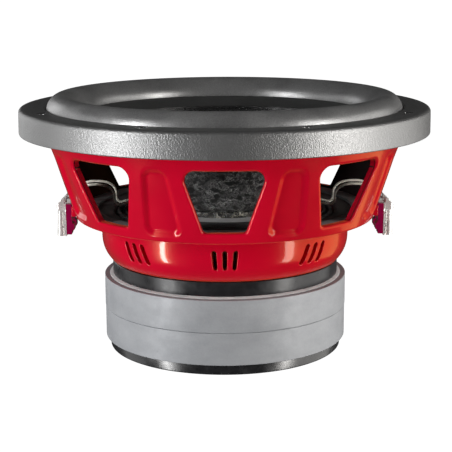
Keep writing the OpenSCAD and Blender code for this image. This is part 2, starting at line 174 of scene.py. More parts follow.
class Shell:
    """Gathers patches of quads into one mesh; points that meet are joined at the end."""

    def __init__(self):
        self.points, self.faces, self.count = [], [], 0

    def grid(self, rows, wrap=False, loop=False):
        """A grid of points. wrap closes each row, and loop joins the last row to the first."""
        rows = np.asarray(rows, float)
        r, c = rows.shape[:2]
        index = np.arange(r * c).reshape(r, c) + self.count
        if wrap:
            index = np.concatenate([index, index[:, :1]], 1)
        if loop:
            index = np.concatenate([index, index[:1]], 0)
        a, b, d, e = index[:-1, :-1], index[:-1, 1:], index[1:, 1:], index[1:, :-1]
        self.faces.append(np.stack([a, b, d, e], -1).reshape(-1, 4))
        self.points.append(rows.reshape(-1, 3))
        self.count += r * c

    def lathe(self, profile, angles, loop=False, wrap=False):
        """A profile of radius and height, turned through the angles."""
        profile = np.asarray(profile, float)
        a = np.radians(angles)
        r, z = profile[:, :1], profile[:, 1:]
        x, y = r * np.cos(a), r * np.sin(a)
        self.grid(np.stack([x, y, z + 0 * x], -1), wrap=wrap, loop=loop)

    def mesh(self, name):
        data = bpy.data.meshes.new(name)
        points = np.concatenate(self.points) * MM
        faces = np.concatenate(self.faces)
        data.from_pydata(points.tolist(), [], faces.tolist())
        bm = bmesh.new()
        bm.from_mesh(data)
        bmesh.ops.remove_doubles(bm, verts=bm.verts, dist=JOIN * MM)
        bmesh.ops.recalc_face_normals(bm, faces=bm.faces)
        bm.to_mesh(data)
        bm.free()
        return data


def turned(profile, count=FULL):
    """A Shell holding one closed outline turned all the way round."""
    shell = Shell()
    shell.lathe(profile, np.arange(count) * 360 / count, loop=True, wrap=True)
    return shell


def shade(data, sharp):
    """Smooth shading with edges sharper than an angle kept crisp."""
    data.shade_smooth()
    data.set_sharp_from_angle(angle=math.radians(sharp))


def piece(name, shell, look, node, body="frame", sharp=35):
    """A Shell as a piece of the object, which stands for a CAD node and rides on a body, if one is named."""
    data = shell.mesh(name)
    shade(data, sharp)
    obj = bpy.data.objects.new(name, data)
    bpy.context.scene.collection.objects.link(obj)
    data.materials.append(LOOKS[look])
    if body:
        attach(obj, body)
    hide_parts(node)
    return obj


def second_look(obj, look, chosen):
    """Adds a material for the faces that chosen picks by their centres, in millimetres, and normals."""
    obj.data.materials.append(look)
    faces = obj.data.polygons
    centres = np.array([f.center for f in faces]) / MM
    normals = np.array([f.normal for f in faces])
    index = np.zeros(len(faces), np.int32)
    faces.foreach_get("material_index", index)
    index[chosen(centres, normals)] = len(obj.data.materials) - 1
    faces.foreach_set("material_index", index)


def radius_of(points):
    """Distance of points from the Z axis."""
    return np.hypot(points[:, 0], points[:, 1])


def smooth_step(t):
    """Eases from 0 to 1 as t does."""
    t = np.clip(t, 0, 1)
    return t * t * (3 - 2 * t)


def hash_noise(p, size, seed):
    """Smooth noise from -1 to 1 at points p, with features of the given size."""
    q = np.asarray(p, float) / size
    base = np.floor(q).astype(np.int64)
    f = smooth_step(q - base)
    total = np.zeros(len(q))
    for corner in range(8):
        o = np.array([(corner >> k) & 1 for k in range(3)])
        c = base + o
        h = (c[:, 0] * 73856093) ^ (c[:, 1] * 19349663) ^ (c[:, 2] * 83492791) ^ (seed * 2654435761)
        h = ((h ^ (h >> 13)) * 1274126177) & 0xFFFFFFFF
        h = ((h ^ (h >> 16)) * 2246822519) & 0xFFFFFFFF
        value = (h & 0xFFFF) / 32767.5 - 1
        weight = np.prod(np.where(o, f, 1 - f), axis=1)
        total += value * weight
    return total


# ---- Materials ----

# Wave scales of the spider's threads and of the coil's turns
THREADS, TURNS = 420.0, 330.0


class Look:
    """A Principled material with a few helpers for its procedural nodes."""

    def __init__(self, name, **values):
        self.material = bpy.data.materials.new(name)
        self.material.use_nodes = True
        self.tree = self.material.node_tree
        self.shader = self.tree.nodes["Principled BSDF"]
        self.place = self.add("ShaderNodeTexCoord").outputs["Object"]
        for key, value in values.items():
            self.set(key.replace("_", " "), value)

    def add(self, kind, inputs=None, **settings):
        n = self.tree.nodes.new(kind)
        for key, value in settings.items():
            setattr(n, key, value)
        for key, value in (inputs or {}).items():
            self.fill(n.inputs[key], value)
        return n

    def fill(self, socket, value):
        """Links a socket, or sets its own value; a colour gets its alpha."""
        if isinstance(value, bpy.types.NodeSocket):
            self.tree.links.new(value, socket)
        elif socket.type == "RGBA":
            socket.default_value = (*value, 1)
        else:
            socket.default_value = value

    def set(self, key, value):
        self.fill(self.shader.inputs[key], value)

    def noise(self, size, detail=2.0, rough=0.5, place=None):
        """Noise with features of about size millimetres."""
        inputs = {"Vector": place or self.place, "Scale": 1 / (size * MM), "Detail": detail, "Roughness": rough}
        return self.add("ShaderNodeTexNoise", inputs).outputs["Fac"]

    def cells(self, size):
        """Rounded cells of about size millimetres."""
        inputs = {"Vector": self.place, "Scale": 1 / (size * MM)}
        return self.add("ShaderNodeTexVoronoi", inputs, feature="SMOOTH_F1").outputs["Distance"]

    def threads(self, axis, distortion=0.0, scale=THREADS):
        """Parallel threads that repeat along an axis."""
        inputs = {"Vector": self.place, "Scale": scale, "Distortion": distortion}
        return self.add("ShaderNodeTexWave", inputs, bands_direction=axis).outputs["Fac"]

    def spread(self, value, low, high, out_low=0.0, out_high=1.0):
        """A value from low to high, brought to between out_low and out_high."""
        inputs = {"Value": value, "From Min": low, "From Max": high, "To Min": out_low, "To Max": out_high}
        return self.add("ShaderNodeMapRange", inputs).outputs["Result"]

    def tint(self, value, low, high):
        """Colours the surface between two colours."""
        n = self.add("ShaderNodeMix", {0: value, 6: low, 7: high}, data_type="RGBA")
        self.set("Base Color", n.outputs[2])

    def rough(self, value, low, high):
        """A roughness between two, from a noise."""
        self.set("Roughness", self.spread(value, 0.3, 0.7, low, high))

    def relief(self, height, depth, under=None):
        self.set("Normal", self.bump(height, depth, under))

    def math(self, operation, a, b):
        return self.add("ShaderNodeMath", {0: a, 1: b}, operation=operation).outputs[0]

    def stretched(self, across, up):
        """Coordinates scaled by across on X and Y and by up on Z, for finer features along the larger one."""
        n = self.add("ShaderNodeMapping", {"Vector": self.place, "Scale": (across, across, up)})
        return n.outputs["Vector"]

    def bump(self, height, depth, under=None):
        """Relief of a height from 0 to 1, depth millimetres deep."""
        inputs = {"Height": height, "Distance": depth * MM, "Strength": 1.0}
        if under is not None:
            inputs["Normal"] = under
        return self.add("ShaderNodeBump", inputs).outputs["Normal"]


def grey(value):
    return (value,) * 3


def red_paint():
    """Gloss paint under a clear coat, with a little orange peel."""
    look = Look("red_paint", IOR=1.5, Specular_IOR_Level=0.3, Specular_Tint=(1.0, 0.5, 0.25),
                Sheen_Weight=0.6, Sheen_Roughness=0.4, Sheen_Tint=(1.0, 0.18, 0.05),
                Coat_Weight=0.35, Coat_Roughness=0.04, Coat_IOR=1.5)
    cloud = look.spread(look.noise(38, 3), 0.3, 0.7)
    look.tint(cloud, (0.5, 0.0, 0.02), (0.58, 0.0, 0.024))
    look.rough(look.noise(24, 3), 0.19, 0.25)
    peel = look.bump(look.noise(3.2, 1.5), 0.035)
    look.relief(look.noise(0.7, 1.0), 0.004, under=peel)
    return look.material


def shaded_red_paint(name, low, high):
    """The red paint made dull and dark as painted shade: inside the basket and on the windows' edges, where shade
    falls.
    """
    look = Look(name, Roughness=0.6, Specular_IOR_Level=0.1)
    look.tint(look.noise(20, 3), low, high)
    look.relief(look.noise(1.2, 2), 0.02)
    return look.material


def gasket_rubber():
    look = Look("gasket_rubber", IOR=2.1, Specular_IOR_Level=0.9)
    grain = look.math("ADD", look.cells(0.95), look.math("MULTIPLY", look.noise(0.6, 3), 0.6))
    cloud = look.spread(look.noise(22, 3), 0.3, 0.7)
    look.tint(cloud, grey(0.038), grey(0.055))
    look.set("Roughness", look.spread(grain, 0.2, 1.1, 0.34, 0.48))
    look.relief(grain, 0.2)
    return look.material


def smooth_rubber():
    """The gasket's rubber round its screw holes, which is smoother."""
    look = Look("smooth_rubber", IOR=2.2, Specular_IOR_Level=1.0)
    look.tint(look.noise(3, 3), grey(0.03), grey(0.06))
    look.rough(look.noise(1, 3), 0.08, 0.16)
    look.relief(look.noise(1.2, 2), 0.03)
    return look.material


def surround_rubber(name, low, high):
    look = Look(name, IOR=2.1, Specular_IOR_Level=0.9)
    cloud, speck = look.noise(30, 3), look.noise(0.9, 2)
    grain = look.math("ADD", look.math("MULTIPLY", cloud, 0.4), look.math("MULTIPLY", speck, 0.6))
    look.tint(look.spread(grain, 0.35, 0.65), low, high)
    look.rough(look.noise(6, 3), 0.29, 0.38)
    look.relief(look.noise(0.6, 2), 0.09)
    return look.material


def cone_pulp(name, low, high, creases, rough):
    """Pressed pulp, with painted highlights: pale flecks along creases that are a given depth."""
    look = Look(name, IOR=1.8, Specular_IOR_Level=0.9)
    fibre = look.noise(1.1, 4, 0.65)
    fold = look.math("ABSOLUTE", look.math("SUBTRACT", look.noise(6.5, 5, 0.68), 0.5), 0.0)
    ridge = look.spread(fold, 0.0, 0.07, 1.0, 0.0)
    patches = look.spread(look.noise(9, 2), 0.4, 0.62, 0.12, 1.0)
    # Painted highlight: pale flecks of fibre noise, in patches, kept to the crease ridges.
    light = look.math("MULTIPLY", look.spread(fibre, 0.42, 0.62), patches)
    look.tint(look.math("MULTIPLY", ridge, light), low, high)
    look.rough(look.noise(3, 3), rough * 0.8, rough * 1.2)
    look.relief(fibre, 0.1, under=look.bump(ridge, creases))
    return look.material


def spider_cloth(name, low, high):
    look = Look(name, Roughness=0.5, Sheen_Weight=0.1, Sheen_Roughness=0.5)
    weave = look.math("MULTIPLY", look.threads("X", 0.3), look.threads("Y", 0.3))
    look.tint(look.noise(12, 3), low, high)
    look.relief(weave, 0.12)
    return look.material


def card():
    look = Look("card", Roughness=0.62)
    fibre = look.noise(0.8, 4, 0.7)
    look.tint(fibre, grey(0.2), grey(0.34))
    look.relief(fibre, 0.05)
    return look.material


def magnet_paint():
    look = Look("magnet_paint", Metallic=0.12, IOR=1.45)
    cloud, speck = look.noise(26, 5, 0.6, look.stretched(1, 1.6)), look.noise(1.6, 4, 0.7)
    mottle = look.math("ADD", look.math("MULTIPLY", cloud, 0.7), look.math("MULTIPLY", speck, 0.3))
    look.tint(look.spread(mottle, 0.35, 0.65), (0.285, 0.295, 0.312), (0.355, 0.365, 0.382))
    look.rough(look.noise(9, 4), 0.42, 0.58)
    grit = look.bump(look.noise(0.5, 3, 0.7), 0.05)
    look.relief(look.noise(14, 2), 0.06, under=grit)
    return look.material


def black_steel(name, ior, rough):
    """Blackened steel with fine lines from turning."""
    look = Look(name, IOR=ior, Specular_IOR_Level=0.8)
    haze = look.noise(10, 5, 0.65)
    look.tint(look.spread(haze, 0.35, 0.7), (0.006, 0.006, 0.007), (0.02, 0.02, 0.022))
    look.rough(haze, rough * 0.8, rough * 1.2)
    lines = look.noise(0.5, 2, 0.5, look.stretched(0.15, 3.5))
    look.relief(lines, 0.003)
    return look.material


def turned_metal(name, low, high, rough=0.3, size=0.4, metallic=1.0):
    look = Look(name, Metallic=metallic)
    streaks = look.noise(size, 3, 0.6, look.stretched(0.25, 2.5))
    look.tint(look.spread(look.noise(7, 3), 0.3, 0.7), low, high)
    look.rough(streaks, rough * 0.75, rough * 1.3)
    look.relief(streaks, 0.01)
    return look.material


def soft_plastic(name, low, high, rough=0.4, grain=0.5, depth=0.02):
    look = Look(name, IOR=1.5)
    look.tint(look.spread(look.noise(8, 3), 0.3, 0.7), low, high)
    look.rough(look.noise(2, 3), rough * 0.85, rough * 1.15)
    look.relief(look.noise(grain, 2), depth)
    return look.material


def wound_wire():
    look = Look("wound_wire", Metallic=0.85, Roughness=0.3, Coat_Weight=0.6, Coat_Roughness=0.15)
    turns = look.threads("Z", scale=TURNS)
    look.tint(turns, (0.35, 0.09, 0.03), (0.72, 0.27, 0.11))
    look.relief(turns, 0.15)
    return look.material


# Painted shade: a near-black red for the basket's inner wall and neck.
INNER_PAINTED_SHADE = shaded_red_paint("inner_painted_shade", (0.01, 0.0, 0.001), (0.02, 0.0, 0.002))
# Painted shade: a dark red for the faces through the wall round the windows.
EDGE_PAINTED_SHADE = shaded_red_paint("window_edge_painted_shade", (0.1, 0.0, 0.006), (0.16, 0.0, 0.01))
SMOOTH_RUBBER = smooth_rubber()
# Painted light: a pale grey that makes the spider's inner corrugations look lit.
LIT_SPIDER_CLOTH = spider_cloth("lit_spider_cloth", grey(0.25), grey(0.42))
SKIRT_RUBBER = surround_rubber("skirt_rubber", grey(0.012), grey(0.035))
# The cone's back: near-black pulp with near-white painted highlights along its creases.
PULP_BACK = cone_pulp("pulp_back", grey(0.01), (1.0, 1.0, 0.98), 1.2, 0.35)
LOOKS = {
    "red_paint": red_paint(),
    "gasket_rubber": gasket_rubber(),
    "surround_rubber": surround_rubber("surround_rubber", (0.08, 0.08, 0.081), (0.26, 0.26, 0.261)),
    # The cone's front: faint painted highlights along its creases.
    "pulp": cone_pulp("pulp", grey(0.008), (0.05, 0.05, 0.051), 0.12, 0.28),
    "spider_cloth": spider_cloth("spider_cloth", grey(0.014), (0.035, 0.035, 0.034)),
    "card": card(),
    "magnet_paint": magnet_paint(),
    "front_steel": black_steel("front_steel", 1.34, 0.33),
    "rear_steel": black_steel("rear_steel", 1.5, 0.26),
    "bare_steel": turned_metal("bare_steel", (0.28, 0.28, 0.29), (0.42, 0.42, 0.43), 0.34),
    "screw_steel": turned_metal("screw_steel", (0.1, 0.1, 0.105), (0.2, 0.2, 0.205), 0.36),
    "aluminium": turned_metal("aluminium", (0.62, 0.62, 0.63), (0.75, 0.75, 0.76), 0.3),
    "nickel": turned_metal("nickel", (0.74, 0.73, 0.7), (0.94, 0.93, 0.91), 0.26, metallic=0.35),
    "spring_steel": turned_metal("spring_steel", (0.4, 0.4, 0.41), (0.6, 0.6, 0.61), 0.25),
    "tinsel": turned_metal("tinsel", (0.93, 0.89, 0.76), (1.0, 0.98, 0.9), 0.36, metallic=0.5),
    "sealant": soft_plastic("sealant", (0.55, 0.6, 0.6), (0.72, 0.76, 0.76), 0.45, 1.5, 0.15),
    "former_film": soft_plastic("former_film", (0.28, 0.13, 0.03), (0.4, 0.2, 0.06), 0.25),
    "collar_plastic": cone_pulp("collar_plastic", (0.03, 0.03, 0.028), (1.0, 0.95, 0.75), 0.3, 0.2),
    "block_plastic": soft_plastic("block_plastic", (0.25, 0.0, 0.045), (0.35, 0.001, 0.07), 0.18),
    "copper_wire": wound_wire(),
}


# ---- Basket ----


def cone_radius(z):
    """Radius of the basket's outer wall."""
    return SHELF_R + (FLANGE_INNER - SHELF_R) * (z - SHELF_Z) / (FLANGE_Z - SHELF_Z)


def neck_radius(z):
    """Radius of the neck, which curves in towards the top plate."""
    return NECK_R - NECK_CURVE * np.clip(NECK_BEND - np.asarray(z, float), 0, None) ** 2.8


def inner_radius(z):
    """Radius of the inside of the basket's wall."""
    return cone_radius(z) - WALL


def bore_radius(z):
    """Radius of the inside of the neck, the same at every height."""
    return NECK_INNER + 0 * np.asarray(z, float)


def neck_pair(z):
    return [float(neck_radius(z)), z]


def wall_pair(z, inwards=0):
    return [cone_radius(z) - inwards, z]


# Angles of one sector, from the middle of an arm to the next, fine where the slots are. The part past BOLT_ANGLE
# holds half of a screw hole.
SLOT_DIVISIONS = 8
SLOT_ANGLES = np.linspace(-1.5, 1.5, 3 * SLOT_DIVISIONS + 1) * SLOT_PITCH
SIDE_ANGLES = np.linspace(1.5 * SLOT_PITCH, STEP / 2, 13)
SECTOR = np.concatenate([-SIDE_ANGLES[::-1], SLOT_ANGLES[1:-1], SIDE_ANGLES])
BOLT_ANGLE = SIDE_ANGLES[-3]


def on_wall(radius_at):
    """A placer for points (sideways, height) on a round wall, sunk towards the axis."""

    def place(points, sink):
        r = radius_at(points[:, 1])
        x = np.sqrt(np.maximum(r**2 - points[:, 0] ** 2, 0))
        share = (r - sink) / r
        return np.stack([x * share, points[:, 0] * share, points[:, 1]], 1)

    return place


def on_level(z, up):
    """A placer for points (sideways, outwards) on a flat ring; up is 1 where the ring faces up."""

    def place(points, sink):
        return np.stack([points[:, 1], points[:, 0], np.full(len(points), z) - up * sink], 1)

    return place


def holed(border, outline, place, lip, rings, steps=5, relief=None):
    """Rows of points from a hole's rounded mouth, starting at its inner edge, out to its border."""
    ahead, behind = np.roll(outline, -1, 0), np.roll(outline, 1, 0)
    tangent = ahead - behind
    normal = np.stack([tangent[:, 1], -tangent[:, 0]], 1)
    normal /= np.linalg.norm(normal, axis=1)[:, None]
    outwards = np.sign(((outline - outline.mean(0)) * normal).sum(1).mean())
    normal *= outwards
    rows = []
    for w in np.linspace(0, math.pi / 2, steps + 1):
        rows.append(place(outline + normal * lip * (1 - math.cos(w)), lip * (1 - math.sin(w))))
    edge = outline + normal * lip
    for t in np.linspace(0, 1, rings + 1)[1:]:
        points = edge * (1 - t) + border * t
        rows.append(place(points, relief(points) if relief else np.zeros(len(points))))
    return np.array(rows)


def border_of(angles, levels, radius_at):
    """The four sides of a patch of wall: bottom, right, top, left. Angles are from its middle."""
    a = np.radians(angles)
    low = np.stack([radius_at(levels[0]) * np.sin(a), np.full(len(a), levels[0])], 1)
    high = np.stack([radius_at(levels[-1]) * np.sin(a), np.full(len(a), levels[-1])], 1)
    r = radius_at(np.asarray(levels, float))
    left = np.stack([r * math.sin(a[0]), levels], 1)
    right = np.stack([r * math.sin(a[-1]), levels], 1)
    return np.concatenate([low[:-1], right[:-1], high[::-1][:-1], left[::-1][:-1]])


def outline_of(corners, radii, angles, levels):
    """A rounded quadrilateral's outline, with points that pair with border_of's."""
    steps = 12
    arcs = rounded(corners, radii, steps).reshape(4, steps + 1, 2)
    across = (angles - angles[0]) / (angles[-1] - angles[0])
    up = (np.asarray(levels, float) - levels[0]) / (levels[-1] - levels[0])
    out = []
    for k, share in enumerate((across, up, 1 - across[::-1], 1 - up[::-1])):
        side = np.concatenate([arcs[k][steps // 2 :], arcs[(k + 1) % 4][: steps // 2 + 1]])
        out.append(along(side, share[:-1]))
    return np.concatenate(out)


def trapezoid(bottom_angle, top_angle, low, high):
    """Corners (sideways, height) on the wall, with half its width at the bottom and top as angles."""
    b = cone_radius(low) * math.sin(math.radians(bottom_angle))
    t = cone_radius(high) * math.sin(math.radians(top_angle))
    return [[-b, low], [b, low], [t, high], [-t, high]]


def outline_distance(points, corners, radius):
    """Signed distance from points to a convex outline with rounded corners; negative inside."""
    c = np.array(corners, float)
    middle = c.mean(0)
    edges = np.roll(c, -1, 0) - c
    normals = np.stack([edges[:, 1], -edges[:, 0]], 1)
    normals /= np.linalg.norm(normals, axis=1)[:, None]
    normals *= np.sign(((c - middle) * normals).sum(1))[:, None]
    depth = ((points[:, None] - c[None]) * normals[None]).sum(2) + radius
    inside = depth.max(1)
    # Outside the inset outline near a corner, two edges count together
    top = np.sort(np.maximum(depth, 0), axis=1)[:, -2:]
    outside = np.sqrt((top**2).sum(1))
    return np.where(inside > 0, outside, inside) - radius


PANEL = trapezoid(6.6, 3.7, PANEL_LOW, PANEL_TOP)


def panel_relief(points):
    """How far the wall is pressed in at points (sideways, height): a panel in the middle of each arm."""
    r = cone_radius(points[:, 1])
    from_arm = np.arcsin(np.clip(np.abs(points[:, 0]) / r, 0, 1)) - math.radians(STEP / 2)
    local = np.stack([r * np.sin(from_arm), points[:, 1]], 1)
    return PANEL_DEPTH * smooth_step(0.5 - outline_distance(local, PANEL, PANEL_ROUND) / PANEL_SLOPE)


# The windows, arms and slots beside the terminals stand further towards the front and the back, and the slots lean
SHIFT_Z = [71, SLOTS_LOW, SLOTS_TOP, WALL_LOW, WALL_HIGH, 168.5]
SHIFT_ANGLE = [0, 5.2, 0, 1.5, 1.5, 0]


def shifted(points):
    """Points of the evenly spaced basket, turned about Z to their real places."""
    around = np.arctan2(points[:, 1], points[:, 0])
    turn = np.radians(np.interp(points[:, 2], SHIFT_Z, SHIFT_ANGLE)) * np.sin(2 * around)
    c, s = np.cos(turn), np.sin(turn)
    x, y = points[:, 0], points[:, 1]
    return np.stack([x * c - y * s, x * s + y * c, points[:, 2]], 1)


def add_windows(shell):
    """The eight windows, with the pressed arms between them."""
    stops, steps = [WALL_LOW, 109.2, 113, 155.5, 159.5, WALL_HIGH], [4, 8, 27, 8, 5]
    parts = [np.linspace(*ends, count, endpoint=False) for *ends, count in zip(stops, stops[1:], steps)]
    levels = np.concatenate([*parts, [WALL_HIGH]])
    inner_levels = INNER_LOW + (levels - WALL_LOW) / (WALL_HIGH - WALL_LOW) * (WALL_HIGH - INNER_LOW)
    window = trapezoid(7.6, 13.9, SILL_Z, WINDOW_TOP)
    outline = outline_of(window, [3, 3, 7, 7], SECTOR, levels)
    border, inner_border = border_of(SECTOR, levels, cone_radius), border_of(SECTOR, inner_levels, inner_radius)
    outer = holed(border, outline, on_wall(cone_radius), 2.4, 40, relief=panel_relief)
    inner = holed(inner_border, outline, on_wall(inner_radius), 1.1, 10)
    for k in range(ARMS):
        for patch in (outer, inner, np.stack([outer[0], inner[0]])):
            shell.grid(spin(patch, k * STEP), wrap=True)


def add_slots(shell):
    """Three cooling slots in the neck below each window, and the plain neck between the groups."""
    levels = np.linspace(SLOTS_LOW, SLOTS_TOP, 19)
    cell = np.linspace(-0.5, 0.5, SLOT_DIVISIONS + 1) * SLOT_PITCH
    w = SLOT_W / 2
    corners = [[-w, SLOT_LOW], [w, SLOT_LOW], [w, SLOT_TOP], [-w, SLOT_TOP]]
    slot = outline_of(corners, [w * 0.98] * 4, cell, levels)
    outer = holed(border_of(cell, levels, neck_radius), slot, on_wall(neck_radius), 0.7, 4)
    inner = holed(border_of(cell, levels, bore_radius), slot, on_wall(bore_radius), 0.5, 3)
    for k in range(ARMS):
        for j in (-1, 0, 1):
            for patch in (outer, inner, np.stack([outer[0], inner[0]])):
                shell.grid(spin(patch, k * STEP + j * SLOT_PITCH), wrap=True)
        plain = np.concatenate([SIDE_ANGLES[:-1], STEP - SIDE_ANGLES[::-1]]) + k * STEP
        for radius_at in (neck_radius, bore_radius):
            shell.lathe(np.stack([radius_at(levels), levels], 1), plain)


def add_screw_holes(shell, cell, plain, faces, hole_r, rings, steps):
    """Screw holes through a ring's two faces, each (height, 1 if it faces up, radii, lip).
    cell holds the angles across one hole, and plain those of the ring between two holes."""
    a = np.radians(cell)
    mouths = []

    def line(r, angle):
        return np.stack([r * np.sin(angle), r * np.cos(angle)], 1)

    for z, up, radii, lip in faces:
        sides = line(radii[0], a), line(radii, a[-1]), line(radii[-1], a)[::-1], line(radii, a[0])[::-1]
        border = np.concatenate([side[:-1] for side in sides])
        about = np.arctan2(border[:, 1] - BOLT_CIRCLE, border[:, 0])
        circle = np.stack([np.cos(about), np.sin(about)], 1) * hole_r + [0, BOLT_CIRCLE]
        patch = holed(border, circle, on_level(z, up), lip, rings, steps)
        mouths.append(patch[0])
        for k in range(ARMS):
            shell.grid(spin(patch, (k + 0.5) * STEP), wrap=True)
            shell.lathe([[r, z] for r in radii], plain + k * STEP)
    for k in range(ARMS):
        shell.grid(spin(np.stack(mouths), (k + 0.5) * STEP), wrap=True)


def basket_shell():
    shell = Shell()
    add_windows(shell)
    add_slots(shell)
    cell = SIDE_ANGLES[-3:] - STEP / 2
    cell = np.concatenate([cell, -cell[::-1][1:]])
    plain = SECTOR[np.abs(SECTOR) < BOLT_ANGLE + 0.01]
    faces = ((FLANGE_Z, -1, np.linspace(*RIM_RING, 9), 0.4), (LEDGE_Z, 1, np.linspace(*LEDGE_RING, 9), 0.05))
    add_screw_holes(shell, cell, plain, faces, BOLT_R, 4, 3)

    # The rest of the profile, from the floor's underside round to the floor's top
    foot = rounded([[FLOOR_HOLE, BASKET_LOW], [86.4, BASKET_LOW], neck_pair(NECK_FOOT)], [0, 1.1, 0])
    neck = [neck_pair(z) for z in np.linspace(NECK_FOOT, SLOTS_LOW, 8)]
    step_r = NECK_INNER + 2
    bands = (
        np.concatenate([foot[:-1], neck]),
        rounded([neck_pair(SLOTS_TOP), [NECK_R, SHELF_Z], [SHELF_R, SHELF_Z], wall_pair(WALL_LOW)],
                [0, 2.6, 2.2, 0]),
        rounded([wall_pair(WALL_HIGH), [FLANGE_INNER, FLANGE_Z], [RIM_RING[0], FLANGE_Z]], [0, 1.5, 0]),
        rounded([[RIM_RING[1], FLANGE_Z], [BASKET_R, FLANGE_Z], [BASKET_R, RIM_TOP], [SEAT_R, RIM_TOP],
                 [SEAT_R, LEDGE_Z], [LEDGE_RING[1], LEDGE_Z]], [0, 0.8, 0.8, 0, 0, 0]),
        rounded([[LEDGE_RING[0], LEDGE_Z], [SEAT_INNER, LEDGE_Z], [SEAT_INNER, 172], wall_pair(168, WALL),
                 wall_pair(WALL_HIGH, WALL)], [0, 1, 3, 3, 0]),
        rounded([wall_pair(INNER_LOW, WALL), wall_pair(SHELF_TOP, WALL), [step_r, SHELF_TOP], [step_r, 101],
                 [NECK_INNER, 98.4], [NECK_INNER, SLOTS_TOP]], [0, 1.5, 1, 1, 1, 0]),
        rounded([[NECK_INNER, SLOTS_LOW], [NECK_INNER, FLOOR_Z], [FLOOR_HOLE, FLOOR_Z],
                 [FLOOR_HOLE, BASKET_LOW]], [0, 1.4, 0.8, 0]),
    )
    full = np.concatenate([SECTOR[:-1] + k * STEP for k in range(ARMS)])
    for band in bands:
        shell.lathe(band, full, wrap=True)
    shell.points = [shifted(points) for points in shell.points]
    return shell


def add_pads(obj):
    """Adds the flat pad that each terminal block stands on, as a box with bevelled edges."""
    pad = bmesh.new()
    bmesh.ops.create_cube(pad, size=1)
    low, high = np.array(PAD_LOW), np.array(PAD_HIGH)
    for v in pad.verts:
        v.co = Vector((low + high) / 2 + np.array(v.co) * (high - low))
    bmesh.ops.bevel(pad, geom=pad.edges[:], offset=0.7, segments=2, profile=0.5, affect="EDGES")
    data = bpy.data.meshes.new("pad")
    pad.to_mesh(data)
    pad.free()
    data.transform(Matrix.Scale(MM, 4))
    whole = bmesh.new()
    whole.from_mesh(obj.data)
    for _ in range(2):
        whole.from_mesh(data)
        data.transform(Matrix.Rotation(math.pi, 4, "Z"))
    whole.to_mesh(obj.data)
    whole.free()
    bpy.data.meshes.remove(data)


basket = piece("cast_basket", basket_shell(), "red_paint", "basket", sharp=50)
add_pads(basket)
shade(basket.data, 50)


def outwardness(centres, normals):
    """1 where a face looks straight away from the Z axis, and -1 where it looks at it."""
    return (centres[:, :2] * normals[:, :2]).sum(1) / radius_of(centres)


def is_inside(centres, normals):
    """Faces of the basket's inner wall and neck."""
    wall = np.where(centres[:, 2] > SHELF_Z, inner_radius(centres[:, 2]), NECK_INNER + 2)
    near = np.abs(radius_of(centres) - wall) < 2.6
    return near & (outwardness(centres, normals) < -0.3) & (centres[:, 2] < 171)


def is_window_edge(centres, normals):
    """Faces through the thickness of the wall, round the windows."""
    depth = cone_radius(centres[:, 2]) - radius_of(centres)
    height = (centres[:, 2] > SILL_Z + 0.3) & (centres[:, 2] < WINDOW_TOP + 0.5)
    sideways = np.abs(outwardness(centres, normals)) < 0.5
    return height & (depth > 2) & (depth < WALL - 0.8) & sideways


# The basket's inner faces get the painted shade.
second_look(basket, INNER_PAINTED_SHADE, is_inside)
# The windows' edges get the painted shade.
second_look(basket, EDGE_PAINTED_SHADE, is_window_edge)


# ---- Gasket, surround and spider ----


def gasket_shell():
    """The rim's rubber ring, with a rounded mouth at each screw."""
    shell = Shell()
    half = 3.2
    cell = np.linspace(-half, half, 9)
    plain = np.linspace(half, STEP - half, 25) + STEP / 2
    inner_r, outer_r, foot_r, lip_r = 139.4, 150.6, 141, 137.5
    top, landing, skirt_r = GASKET_TOP, LEDGE_Z + 1.82, BASKET_R + 0.02
    faces = ((top, 1, np.linspace(inner_r, outer_r, 9), 0.9), (LEDGE_Z, -1, np.linspace(foot_r, SEAT_R, 9), 0.02))
    add_screw_holes(shell, cell, plain, faces, MOUTH_R, 6, 5)
    side = rounded([[outer_r, top], [GASKET_R - 0.15, top], [GASKET_R, FLANGE_Z], [skirt_r, FLANGE_Z]],
                   [0, 3.2, 0.9, 0], 8)
    outside = along(side[9:11], np.linspace(0, 1, 7))[1:-1]
    bands = (
        np.concatenate([side[:9], outside, side[10:]]),
        [[skirt_r, FLANGE_Z], [skirt_r, RIM_TOP + 0.02], [SEAT_R, RIM_TOP + 0.02], [SEAT_R, LEDGE_Z]],
        rounded([[foot_r, LEDGE_Z], [foot_r, landing], [lip_r, landing], [lip_r, top], [inner_r, top]],
                [0, 0, 0.4, 1.3, 0]),
    )
    full = np.concatenate([np.concatenate([cell[:-1] + STEP / 2, plain[:-1]]) + k * STEP for k in range(ARMS)])
    for band in bands:
        shell.lathe(band, full, wrap=True)
    return shell


gasket = piece("gasket_ring", gasket_shell(), "gasket_rubber", "gasket", sharp=40)


def is_mouth(centres, normals):
    """Faces round the gasket's screw holes."""
    around = np.radians((np.degrees(np.arctan2(centres[:, 1], centres[:, 0])) - STEP / 2) % STEP)
    turn = np.minimum(around, math.radians(STEP) - around)
    r = radius_of(centres)
    from_hole = np.hypot(r * np.cos(turn) - BOLT_CIRCLE, r * np.sin(turn))
    return (from_hole < 4.2) & (centres[:, 2] > LEDGE_Z + 1)


second_look(gasket, SMOOTH_RUBBER, is_mouth)


def blend_by_radius(obj, frame_r, cone_r):
    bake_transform(obj)
    places = np.array([v.co for v in obj.data.vertices])
    weights = smooth_step((frame_r - radius_of(places) / MM) / (frame_r - cone_r)).astype(np.float32)


def within(radius):
    """Chooses the faces nearer to the Z axis than a radius."""
    return lambda centres, normals: radius_of(centres) < radius


# The roll's thickness, the radius of its crest, and how far it reaches inwards and outwards from there
ROLL_T, ROLL_MIDDLE, ROLL_IN, ROLL_OUT = 1.8, 125.9, 16.2, 10.2
SKIRT_R = 107.6


